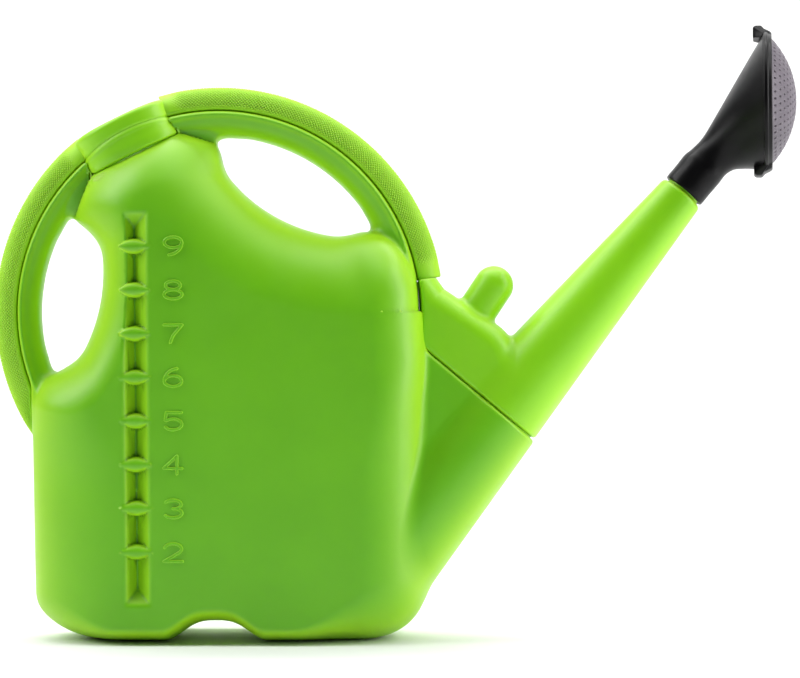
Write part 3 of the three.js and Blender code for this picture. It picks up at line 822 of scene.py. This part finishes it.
def make_face():
    """The pierced dome of the rose, with its seat behind the clamp ring."""
    back, front, edge = DOME_BACK, DOME_FRONT, DOME_EDGE
    dome_edge, seat = 48.2, 3.6
    sagitta = front - back - seat
    radius = (dome_edge**2 + sagitta**2) / (2 * sagitta)
    centre_x = front - radius
    middle = ROSE_Z
    holes = face_holes()

    def field(x, y, z):
        wide = np.hypot(y, z - middle)
        sphere = np.sqrt((x - centre_x) ** 2 + wide**2)
        shell = np.abs(sphere - radius + 0.8) - 0.8
        shell = np.maximum(shell, back + seat - 0.6 - x)
        rim = np.maximum(np.abs(wide - 48.0) - 1.2, np.abs(x - back - 2.2) - 2.2)
        flange = np.maximum(np.abs(wide - 49.0) - 1.9, np.abs(x - back - 1.0) - 1.0)
        solid = smooth_min(smooth_min(shell, rim, 1.6), flange, 0.6)
        nearest = np.full(np.broadcast(y, z).shape, 1e3, np.float32)
        for hy, hz in holes:
            nearest = np.minimum(nearest, np.hypot(y - hy, z - middle - hz))
        boss = 0.35 * np.exp(-((nearest / 1.9) ** 2))
        drilled = np.where(x > back + seat - 1.0, 0.85 - nearest, -5.0)
        return smooth_max(solid - boss, drilled, 0.5)

    low = [back - 1.5, -edge - 2, middle - edge - 2]
    high = [front + 1.5, edge + 2, middle + edge + 2]
    return level_set_object("rose_dome", field, low, high, 0.55, 0.62)


def make_seal():
    """Soft ring with two lips that press on the spigot."""
    loop = fillet_loop(
        [
            (14.7, 9.0),
            (14.7, 21.0),
            (14.0, 21.0),
            (13.6, 19.0),
            (14.1, 17.0),
            (13.6, 15.0),
            (14.1, 13.0),
            (13.6, 11.0),
            (14.0, 9.0),
        ],
        0.3,
        3,
    )
    return lathe("seal_lips", loop[::-1], TIP, SPOUT_AXIS, 96)


# ---- scale numerals ----


def arc(cx, cz, rx, rz, start, stop, count=14):
    """Points along part of an oval, from one angle to another in degrees."""
    turn = np.radians(np.linspace(start, stop, count))
    return [(cx + rx * math.cos(t), cz + rz * math.sin(t)) for t in turn]


# Strokes on a box one unit wide (-0.5 to 0.5) and one unit high (-0.5 to 0.5).
DIGITS = {
    "2": [arc(0, 0.2, 0.44, 0.28, 165, -40) + [(-0.46, -0.48), (0.48, -0.48)]],
    "3": [arc(0, 0.24, 0.42, 0.24, 150, -90) + arc(0, -0.24, 0.46, 0.25, 90, -150)],
    "4": [[(0.46, -0.18), (-0.48, -0.18), (0.2, 0.48), (0.2, -0.48)]],
    "5": [[(0.42, 0.47), (-0.34, 0.47), (-0.4, 0.06)] + arc(0, -0.17, 0.45, 0.3, 138, -150)],
    "6": [arc(0, -0.2, 0.45, 0.29, 0, 360, 24), arc(0.28, -0.2, 0.73, 0.68, 180, 96)],
    "7": [[(-0.46, 0.47), (0.46, 0.47), (0.0, -0.1), (-0.14, -0.48)]],
    "8": [arc(0, 0.25, 0.38, 0.23, 0, 360, 24), arc(0, -0.24, 0.46, 0.25, 0, 360, 24)],
    "9": [arc(0, 0.2, 0.45, 0.29, 0, 360, 24), arc(-0.28, 0.2, 0.73, 0.68, 0, -84)],
}


def stroke_distance(x, z, strokes):
    """Distance to the nearest of a numeral's strokes, which are chains of points."""
    nearest = np.full(np.broadcast(x, z).shape, 1e3)
    for stroke in strokes:
        for (ax, az), (bx, bz) in zip(stroke[:-1], stroke[1:]):
            dx, dz = bx - ax, bz - az
            share = np.clip(((x - ax) * dx + (z - az) * dz) / (dx * dx + dz * dz), 0, 1)
            nearest = np.minimum(nearest, np.hypot(x - ax - share * dx, z - az - share * dz))
    return nearest


def make_numerals():
    """Raised numerals 2 to 9 beside the sight groove, one for each litre."""
    wide, tall, half, proud = 14.2, 13.4, 1.1, 1.4
    x_middle = SIGHT_X + 25.6
    all_points, all_faces, count = [], [], 0
    for digit, mark in zip("23456789", MARKS):
        strokes = [[(x_middle + u * wide, mark + v * tall) for u, v in s] for s in DIGITS[digit]]

        def field(x, y, z):
            across = stroke_distance(x, z, strokes)
            height = sight_depth(x, y, z)
            top = -proud - height
            return smooth_max(smooth_max(across - half, top, 0.9), height - 1.2, 0.3)

        face = -float(tank_depth(x_middle, mark))
        low = [x_middle - wide / 2 - 2, face - 2.4, mark - tall / 2 - 2]
        high = [x_middle + wide / 2 + 2, face + 2.6, mark + tall / 2 + 2]
        points, quads = surface_net(field, low, high, 0.32)
        points = settle(field, points, 0.15, 2)
        all_points.append(points)
        all_faces.append(quads + count)
        count += len(points)
    return new_object("scale_numerals", np.concatenate(all_points), np.concatenate(all_faces))


# ---- materials ----


def node(tree, kind, **inputs):
    made = tree.nodes.new(kind)
    for key, value in inputs.items():
        made.inputs[key].default_value = value
    return made


def map_range(tree, source, start, stop, low=0.0, high=1.0):
    """Carries start to low and stop to high, clamped between them."""
    ramp = tree.nodes.new("ShaderNodeMapRange")
    ends = {"From Min": start, "From Max": stop, "To Min": low, "To Max": high}
    for key, value in ends.items():
        ramp.inputs[key].default_value = value
    tree.links.new(source, ramp.inputs["Value"])
    return ramp.outputs["Result"]


def blend_to(tree, colour, target, share):
    """The colour, carried to the target where the share is high."""
    blend = tree.nodes.new("ShaderNodeMix")
    blend.data_type = "RGBA"
    blend.inputs["B"].default_value = (*target, 1)
    tree.links.new(share, blend.inputs["Factor"])
    tree.links.new(colour, blend.inputs["A"])
    return blend.outputs["Result"]


def finish_material(
    name,
    light,
    dark,
    rough,
    grain,
    bump,
    subsurface=0.0,
    gloss=0.5,
    painted_edge_highlight=None,
    edge_highlight_range=(0.53, 0.62),
    painted_crease_shade=None,
    turned=None,
):
    """Moulded plastic: two close tones in slow clouds, a grain in the gloss, and a fine skin.

    grain is the size of the skin's pattern in millimetres and bump its height. The edge colour
    is a painted highlight on the edges, the dip colour painted shade in the dips, and the turn
    colour painted light on the skin that faces away from the can's flat sides.
    """
    material = bpy.data.materials.new(name)
    material.use_nodes = True
    tree = material.node_tree
    links = tree.links
    shader = tree.nodes["Principled BSDF"]
    shader.inputs["Subsurface Weight"].default_value = subsurface
    shader.inputs["Subsurface Scale"].default_value = 0.004
    shader.inputs["Subsurface Radius"].default_value = (0.6, 1.0, 0.2)
    shader.inputs["Specular IOR Level"].default_value = gloss
    shader.inputs["IOR"].default_value = 1.49
    place = tree.nodes.new("ShaderNodeTexCoord")
    geometry = tree.nodes.new("ShaderNodeNewGeometry")

    clouds = node(tree, "ShaderNodeTexNoise", Scale=14.0, Detail=4.0, Roughness=0.55)
    links.new(place.outputs["Object"], clouds.inputs["Vector"])
    tone = tree.nodes.new("ShaderNodeValToRGB")
    tone.color_ramp.elements[0].position = 0.35
    tone.color_ramp.elements[1].position = 0.68
    tone.color_ramp.elements[0].color = (*dark, 1)
    tone.color_ramp.elements[1].color = (*light, 1)
    links.new(clouds.outputs["Fac"], tone.inputs["Fac"])
    colour = tone.outputs["Color"]
    # Painted light: skin whose normal turns away from the can's flat front and back is blended
    # toward the lighter turn colour, as if lit by the side lamps.
    if turned is not None:
        parts = tree.nodes.new("ShaderNodeSeparateXYZ")
        links.new(place.outputs["Normal"], parts.inputs["Vector"])
        flat = tree.nodes.new("ShaderNodeMath")
        flat.operation = "ABSOLUTE"
        links.new(parts.outputs["Y"], flat.inputs[0])
        share = map_range(tree, flat.outputs["Value"], 0.995, 0.55, high=0.8)
        colour = blend_to(tree, colour, turned, share)
    # Painted highlight: convex edges, found by pointiness, are blended toward the lighter edge
    # colour.
    if painted_edge_highlight is not None:
        share = map_range(tree, geometry.outputs["Pointiness"], *edge_highlight_range, high=0.5)
        colour = blend_to(tree, colour, painted_edge_highlight, share)
    # Painted shade: concave dips and creases, found by pointiness, are blended toward the darker
    # dip colour.
    if painted_crease_shade is not None:
        share = map_range(tree, geometry.outputs["Pointiness"], 0.48, 0.42, high=0.75)
        colour = blend_to(tree, colour, painted_crease_shade, share)
    links.new(colour, shader.inputs["Base Color"])

    patches = node(tree, "ShaderNodeTexNoise", Scale=42.0, Detail=5.0, Roughness=0.6)
    links.new(place.outputs["Object"], patches.inputs["Vector"])
    sheen = map_range(tree, patches.outputs["Fac"], 0.3, 0.7, *rough)
    links.new(sheen, shader.inputs["Roughness"])

    skin = node(tree, "ShaderNodeTexNoise", Scale=1 / (grain * MM), Detail=3.0, Roughness=0.5)
    links.new(place.outputs["Object"], skin.inputs["Vector"])
    flow = node(tree, "ShaderNodeTexNoise", Scale=60.0, Detail=2.0, Roughness=0.5)
    links.new(place.outputs["Object"], flow.inputs["Vector"])
    heights = tree.nodes.new("ShaderNodeMath")
    heights.operation = "MULTIPLY_ADD"
    heights.inputs[1].default_value = 2.0
    links.new(flow.outputs["Fac"], heights.inputs[0])
    links.new(skin.outputs["Fac"], heights.inputs[2])
    relief = node(tree, "ShaderNodeBump", Strength=0.6, Distance=bump * MM)
    links.new(heights.outputs["Value"], relief.inputs["Height"])
    links.new(relief.outputs["Normal"], shader.inputs["Normal"])
    return material


def srgb(red, green, blue):
    """Linear colour from 0 to 255 display values."""
    out = []
    for value in (red, green, blue):
        share = value / 255
        out.append(share / 12.92 if share <= 0.04045 else ((share + 0.055) / 1.055) ** 2.4)
    return tuple(out)


# In each finish below, the edge colour is a painted highlight, the dip colour painted shade and
# the turn colour painted light.
GREEN = finish_material(
    "green_moulded", srgb(108, 191, 4), srgb(102, 184, 4), (0.36, 0.46), 0.7, 0.02,
    subsurface=0.12, painted_edge_highlight=srgb(170, 228, 44), painted_crease_shade=srgb(58, 122, 2), turned=srgb(166, 220, 26),
)
# Painted light: the same green made lighter for the collar and spout, standing in for the light
# they catch.
GREEN_PAINTED_LIT = finish_material(
    "green_painted_lit", srgb(138, 216, 8), srgb(130, 208, 8), (0.36, 0.46), 0.7, 0.02,
    subsurface=0.12, painted_edge_highlight=srgb(180, 234, 60), painted_crease_shade=srgb(80, 150, 4), turned=srgb(166, 224, 26),
)
GRIP = finish_material(
    "green_grip", srgb(152, 222, 18), srgb(138, 208, 12), (0.46, 0.58), 0.5, 0.03,
    subsurface=0.1, painted_edge_highlight=srgb(190, 240, 70), edge_highlight_range=(0.51, 0.58), painted_crease_shade=srgb(80, 150, 4),
    turned=srgb(180, 232, 36),
)
BLACK = finish_material(
    "black_moulded", srgb(7, 6, 8), srgb(4, 4, 5), (0.3, 0.42), 0.6, 0.02,
    gloss=0.18, painted_edge_highlight=srgb(24, 23, 26),
)
GREY = finish_material(
    "grey_face", srgb(112, 104, 113), srgb(92, 86, 94), (0.4, 0.52), 0.5, 0.02,
    painted_edge_highlight=srgb(170, 166, 174),
)
RUBBER = finish_material(
    "seal_rubber", srgb(24, 24, 25), srgb(17, 17, 18), (0.7, 0.85), 0.4, 0.03,
)


def turn_rose(obj):
    """Turns a piece of the rose about the spout's axis to where the rose sits at rest."""
    pivot = Matrix.Translation((TIP[0] * MM, 0, TIP[1] * MM))
    turn = Matrix.Rotation(ROSE_TURN, 4, (SPOUT_AXIS[0], 0, SPOUT_AXIS[1]))
    obj.data.transform(pivot @ turn @ pivot.inverted())
    return obj


def show(obj, body, nodes, material):
    """Gives a piece its finish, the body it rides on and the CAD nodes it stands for."""
    obj.data.materials.clear()
    obj.data.materials.append(material)
    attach(obj, body)
    if nodes:
        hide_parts(*nodes)


# ---- the can ----

show(make_tank(), "can", ["tank"], GREEN)
show(make_numerals(), "can", [], GREEN)
# The collar and spout take the lighter copy of the green, a painted stand-in for the light on
# them.
show(make_collar(), "can", ["filler_collar"], GREEN_PAINTED_LIT)
show(make_spout(), "can", ["spout"], GREEN_PAINTED_LIT)
show(
    make_grip(
        "rear_grip_band",
        lambda radius: collar_angle(radius, -1),
        lambda radius: 214.0,
        4.0,
        2.0,
    ),
    "can", ["rear_grip"], GRIP,
)
show(
    make_grip(
        "front_grip_band",
        lambda radius: collar_angle(radius, 1),
        lambda radius: 9.1,
        4.0,
        6.0,
    ),
    "can", ["front_grip"], GRIP,
)
show(make_seal(), "rose_seat", ["rose_seal"], RUBBER)
show(turn_rose(make_housing()), "rose", ["rose_housing"], BLACK)
show(turn_rose(shape_lugs(make_ring())), "rose", ["rose_ring"], BLACK)
show(turn_rose(make_face()), "rose", ["rose_face"], GREY)


# ---- studio ----


def make_sweep():
    """A pale floor that curves up behind the can into a wall."""
    half, near, far, bend, tall = 6000.0, -5200.0, 1500.0, 900.0, 4200.0
    line = [(near, 0.0)]
    for t in np.linspace(0, np.pi / 2, 24):
        line.append((far + bend * math.sin(t), bend * (1 - math.cos(t))))
    line.append((far + bend, tall))
    points = [(side * half, y, z) for y, z in line for side in (-1, 1)]
    faces = [[2 * i, 2 * i + 1, 2 * i + 3, 2 * i + 2] for i in range(len(line) - 1)]
    sweep = new_object("studio_sweep", np.array(points), faces)
    material = bpy.data.materials.new("pale_paper")
    material.use_nodes = True
    shader = material.node_tree.nodes["Principled BSDF"]
    grain = node(material.node_tree, "ShaderNodeTexNoise", Scale=3.0, Detail=2.0)
    tone = material.node_tree.nodes.new("ShaderNodeValToRGB")
    tone.color_ramp.elements[0].color = (0.86, 0.86, 0.86, 1)
    tone.color_ramp.elements[1].color = (0.9, 0.9, 0.9, 1)
    material.node_tree.links.new(grain.outputs["Fac"], tone.inputs["Fac"])
    material.node_tree.links.new(tone.outputs["Color"], shader.inputs["Base Color"])
    shader.inputs["Roughness"].default_value = 0.9
    sweep.data.materials.append(material)
    sweep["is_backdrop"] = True


def area_light(name, place, target, size, power):
    data = bpy.data.lights.new(name, "AREA")
    data.shape = "RECTANGLE"
    data.size, data.size_y = size
    data.energy = power
    light = bpy.data.objects.new(name, data)
    light.location = place
    light.rotation_euler = (Vector(target) - Vector(place)).to_track_quat("-Z", "Y").to_euler()
    bpy.context.scene.collection.objects.link(light)


make_sweep()
centre = [(a + b) / 2 for a, b in zip(cad_low, cad_high)]
area_light("left_bank", (-1.5, -0.36, 1.35), centre, (0.8, 1.5), 22.0)
area_light("right_bank", (1.3, -0.24, 0.75), centre, (0.5, 1.7), 17.0)
area_light("overhead", (-0.1, -0.16, 1.8), centre, (1.9, 0.7), 13.0)
area_light("front_fill", (-0.4, -3.2, 1.1), centre, (1.6, 1.2), 0.8)
area_light("wall_wash", (0.0, 0.9, 2.9), (0.0, 2.4, 0.3), (5.0, 0.8), 110.0)

world = bpy.data.worlds.new("studio")
bpy.context.scene.world = world
world.use_nodes = True
world.node_tree.nodes["Background"].inputs["Color"].default_value = (1, 1, 1, 1)
world.node_tree.nodes["Background"].inputs["Strength"].default_value = 0.07

camera_data = bpy.data.cameras.new("camera")
camera_data.lens = 110.2
camera_data.sensor_width = 36.0
camera = bpy.data.objects.new("camera", camera_data)
camera.location = (0.003, -1.837, 0.2235)
camera.rotation_euler = (math.radians(90), 0, 0)
bpy.context.scene.collection.objects.link(camera)
bpy.context.scene.camera = camera
bpy.context.scene.view_settings.view_transform = "Standard"
